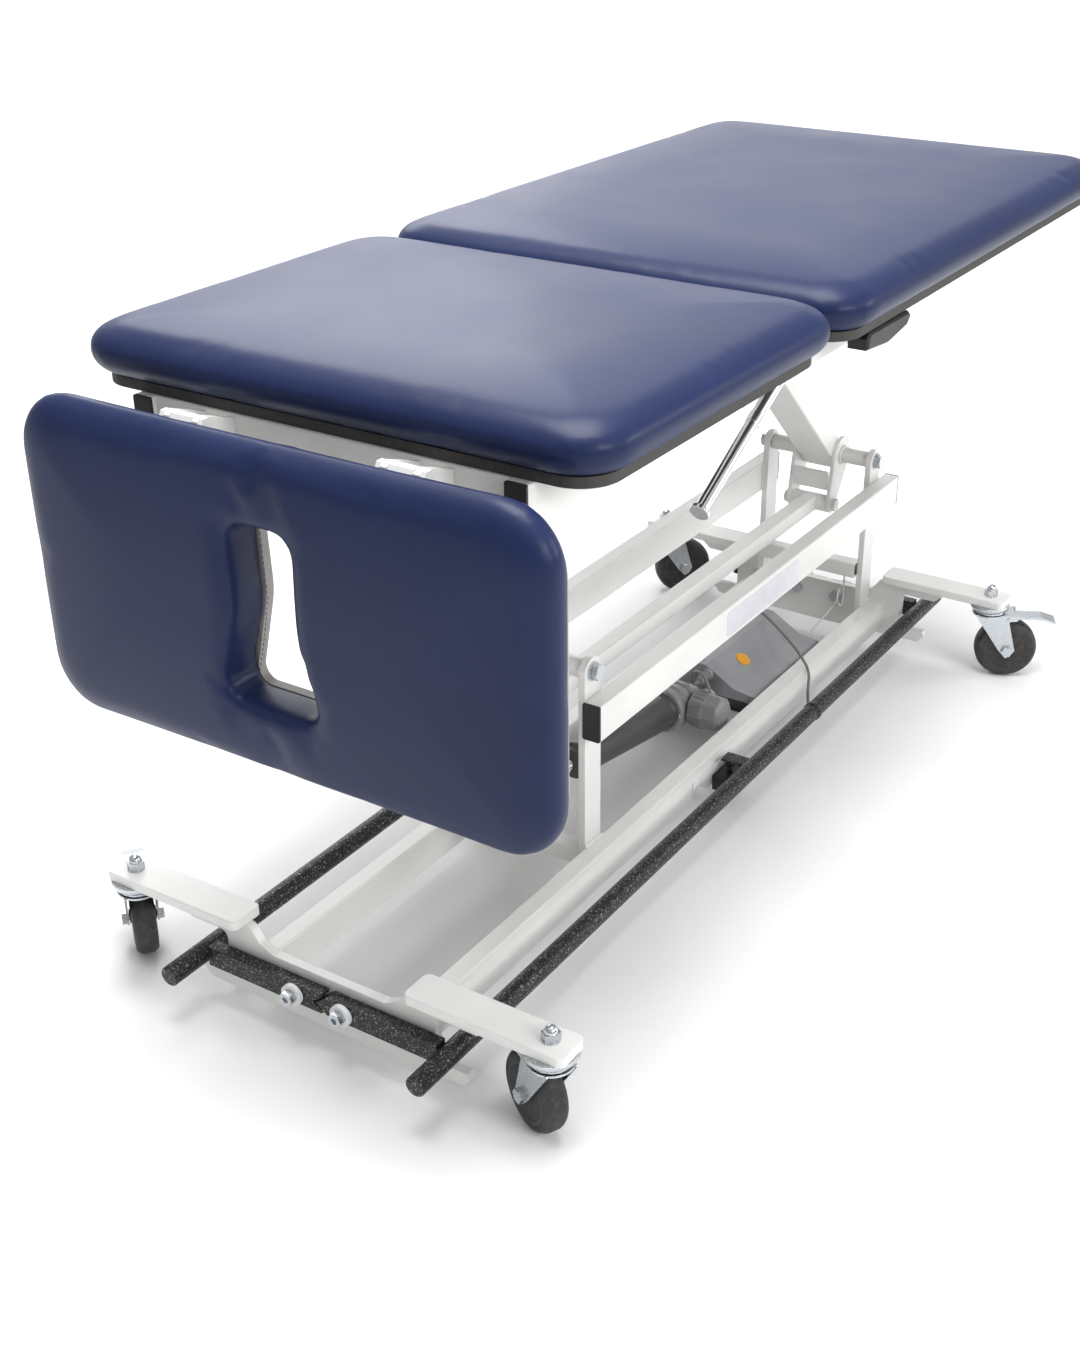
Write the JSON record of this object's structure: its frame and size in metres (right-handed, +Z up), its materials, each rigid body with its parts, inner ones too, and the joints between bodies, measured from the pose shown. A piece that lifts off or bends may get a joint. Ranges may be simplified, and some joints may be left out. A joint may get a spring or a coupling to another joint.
{
  "type": "examination couch",
  "caption": "Height-adjustable examination couch on locking casters, with a hinged head section that has a face slot, a hinged leg section, foot control bars and an electric lift linkage.",
  "frame": {"origin": "on the floor, under the middle of the couch's overall length and width", "axes": "+X to the foot end, +Y to the left hand looking to the foot end, +Z up"},
  "size_m": [1.603, 0.797, 0.8088],
  "materials": {
    "white_coat": "smooth off-white powder coat",
    "black_coat": "black hammered coat with fine speckle",
    "zinc": "bright zinc plate",
    "chrome": "polished chrome",
    "cast_grey": "satin cast aluminium",
    "black_plastic": "moulded black plastic",
    "grey_plastic": "moulded grey plastic",
    "white_plastic": "moulded white plastic",
    "cable_grey": "grey cable sheath",
    "cable_black": "black cable sheath",
    "tyre_grey": "dark grey non-marking tread",
    "vinyl_navy": "navy upholstery vinyl with fine grain",
    "board_black": "plywood with dark backing"
  },
  "bodies": {
    "base": {"end_cross_plates": "white_coat", "caster_wing_bars": "white_coat", "lower_side_tubes": "white_coat", "upper_side_rails": "white_coat", "rail_end_caps": "black_plastic", "pivot_posts": "white_coat", "crank_pivot_bolts": "zinc", "caster_stem_nuts": "zinc", "caster_swivel_heads": "zinc", "actuator_mount": "white_coat", "control_box_tray": "white_coat", "control_box_case": "grey_plastic", "control_box_lid": "grey_plastic", "motor_plug": "black_plastic", "motor_cable": "cable_black", "switch_cable": "cable_grey", "sensor_cable": "cable_grey", "foot_bar_bolts": "zinc", "foot_bar_bushes": "white_plastic", "switch_bracket": "white_plastic", "switch_body": "black_plastic"},
    "rear_crank": {"rear_crank_arm": "white_coat", "rear_crank_levers": "white_coat"},
    "front_crank": {"front_crank_arm": "white_coat", "front_crank_cheeks": "white_coat"},
    "link": {"link_tube": "white_coat"},
    "actuator_body": {"actuator_gear_case": "cast_grey", "actuator_motor": "black_plastic", "actuator_outer_tube": "cast_grey"},
    "actuator_ram": {"actuator_rod": "chrome"},
    "top_frame": {"top_side_tubes": "white_coat", "top_tube_caps": "black_plastic", "top_cross_tubes": "white_coat", "top_carrier_rails": "white_coat", "top_pivot_pins": "zinc", "head_hinge_lugs": "white_coat", "leg_hinge_plates": "white_coat", "middle_board": "board_black", "middle_pad": "vinyl_navy"},
    "head_section": {"head_pad": "vinyl_navy", "head_board": "board_black", "head_hinge_arms": "white_coat"},
    "leg_section": {"leg_pad": "vinyl_navy", "leg_board": "board_black", "leg_frame_tubes": "white_coat"},
    "leg_lever": {"leg_release_lever": "black_plastic"},
    "head_handle": {"head_release_handle": "chrome"},
    "left_bar": {"foot_bar_left": "black_coat"},
    "right_bar": {"foot_bar_right": "black_coat"},
    "plunger": {"switch_plunger": "black_plastic"},
    "swivel_front_left": {"caster_fork_front_left": "zinc"},
    "wheel_front_left": {"caster_wheel_front_left": "tyre_grey"},
    "brake_front_left": {"caster_brake_front_left": "grey_plastic"},
    "swivel_front_right": {"caster_fork_front_right": "zinc"},
    "wheel_front_right": {"caster_wheel_front_right": "tyre_grey"},
    "swivel_rear_left": {"caster_fork_rear_left": "zinc"},
    "wheel_rear_left": {"caster_wheel_rear_left": "tyre_grey"},
    "swivel_rear_right": {"caster_fork_rear_right": "zinc"},
    "wheel_rear_right": {"caster_wheel_rear_right": "tyre_grey"},
    "brake_rear_right": {"caster_brake_rear_right": "grey_plastic"}
  },
  "joints": [
    {"name": "lift", "type": "hinge", "parent": "base", "child": "rear_crank", "pos_m": [0.5615, 0, 0.338], "axis": [0, 1, 0], "range_deg": [-37, 32]},
    {"name": "lift_front", "type": "hinge", "parent": "base", "child": "front_crank", "pos_m": [-0.3035, 0, 0.338], "axis": [0, 1, 0], "range_deg": [-37, 32]},
    {"name": "top_level", "type": "hinge", "parent": "rear_crank", "child": "top_frame", "pos_m": [0.20286, 0, 0.66894], "axis": [0, 1, 0], "range_deg": [-32, 37]},
    {"name": "link_level", "type": "hinge", "parent": "rear_crank", "child": "link", "pos_m": [0.53311, 0, 0.26001], "axis": [0, 1, 0], "range_deg": [-32, 37]},
    {"name": "actuator_tilt", "type": "hinge", "parent": "base", "child": "actuator_body", "pos_m": [0.1455, 0, 0.075], "axis": [0, 1, 0], "range_deg": [-1.13, 0.98]},
    {"name": "actuator_stroke", "type": "slide", "parent": "actuator_body", "child": "actuator_ram", "axis": [-0.9889, 0, 0.1484], "range_m": [-0.1164, 0.1007]},
    {"name": "head_tilt", "type": "hinge", "parent": "top_frame", "child": "head_section", "pos_m": [-0.7125, 0, 0.74179], "axis": [0, 1, 0], "range_deg": [0, 105]},
    {"name": "leg_tilt", "type": "hinge", "parent": "top_frame", "child": "leg_section", "pos_m": [-0.0415, 0, 0.72829], "axis": [0, -1, 0], "range_deg": [0, 35]},
    {"name": "leg_lever_pull", "type": "hinge", "parent": "leg_section", "child": "leg_lever", "pos_m": [-0.0385, 0, 0.72579], "axis": [0, 1, 0], "range_deg": [0, 20], "stiffness_Nm_per_rad": 0.6, "springref_deg": -11.46},
    {"name": "head_handle_pull", "type": "hinge", "parent": "top_frame", "child": "head_handle", "pos_m": [-0.1665, 0, 0.71199], "axis": [0, 1, 0], "range_deg": [0, 20], "stiffness_Nm_per_rad": 0.8, "springref_deg": -11.46},
    {"name": "left_bar_press", "type": "hinge", "parent": "base", "child": "left_bar", "pos_m": [-0.0665, 0.036, 0.077], "axis": [1, 0, 0], "range_deg": [-5.5, 5.5], "stiffness_Nm_per_rad": 80, "springref_deg": 4.3},
    {"name": "right_bar_press", "type": "hinge", "parent": "base", "child": "right_bar", "pos_m": [-0.0665, -0.036, 0.077], "axis": [1, 0, 0], "range_deg": [-5.5, 5.5]},
    {"name": "plunger_press", "type": "slide", "parent": "base", "child": "plunger", "axis": [0, 0, 1], "range_m": [-0.0101, 0.0101]},
    {"name": "swivel_front_left_turn", "type": "hinge", "parent": "base", "child": "swivel_front_left", "pos_m": [-0.7205, 0.303, 0.11], "axis": [0, 0, 1], "continuous": true},
    {"name": "wheel_front_left_spin", "type": "hinge", "parent": "swivel_front_left", "child": "wheel_front_left", "pos_m": [-0.69993, 0.32751, 0.05], "axis": [-0.766, 0.6428, 0], "continuous": true},
    {"name": "brake_front_left_press", "type": "hinge", "parent": "swivel_front_left", "child": "brake_front_left", "pos_m": [-0.70122, 0.32598, 0.1058], "axis": [-0.766, 0.6428, 0], "range_deg": [0, 10]},
    {"name": "swivel_front_right_turn", "type": "hinge", "parent": "base", "child": "swivel_front_right", "pos_m": [-0.7205, -0.303, 0.11], "axis": [0, 0, 1], "continuous": true},
    {"name": "wheel_front_right_spin", "type": "hinge", "parent": "swivel_front_right", "child": "wheel_front_right", "pos_m": [-0.70647, -0.27424, 0.05], "axis": [-0.8988, 0.4384, 0], "continuous": true},
    {"name": "swivel_rear_left_turn", "type": "hinge", "parent": "base", "child": "swivel_rear_left", "pos_m": [0.5875, 0.303, 0.11], "axis": [0, 0, 1], "continuous": true},
    {"name": "wheel_rear_left_spin", "type": "hinge", "parent": "swivel_rear_left", "child": "wheel_rear_left", "pos_m": [0.61013, 0.28037, 0.05], "axis": [0.7071, 0.7071, 0], "continuous": true},
    {"name": "swivel_rear_right_turn", "type": "hinge", "parent": "base", "child": "swivel_rear_right", "pos_m": [0.5875, -0.303, 0.11], "axis": [0, 0, 1], "continuous": true},
    {"name": "wheel_rear_right_spin", "type": "hinge", "parent": "swivel_rear_right", "child": "wheel_rear_right", "pos_m": [0.60203, -0.33151, 0.05], "axis": [0.891, 0.454, 0], "continuous": true},
    {"name": "brake_rear_right_press", "type": "hinge", "parent": "swivel_rear_right", "child": "brake_rear_right", "pos_m": [0.60112, -0.32973, 0.1058], "axis": [0.891, 0.454, 0], "range_deg": [0, 10]}
  ],
  "couplings": [
    {"joint": "lift_front", "follows": "lift", "ratio": 1},
    {"joint": "top_level", "follows": "lift", "ratio": -1},
    {"joint": "link_level", "follows": "lift", "ratio": -1},
    {"joint": "actuator_tilt", "follows": "lift", "ratio": 0.03},
    {"joint": "actuator_stroke", "follows": "lift", "m_per_rad": 0.18},
    {"joint": "right_bar_press", "follows": "left_bar_press", "ratio": -1},
    {"joint": "plunger_press", "follows": "left_bar_press", "m_per_rad": 0.104}
  ]
}
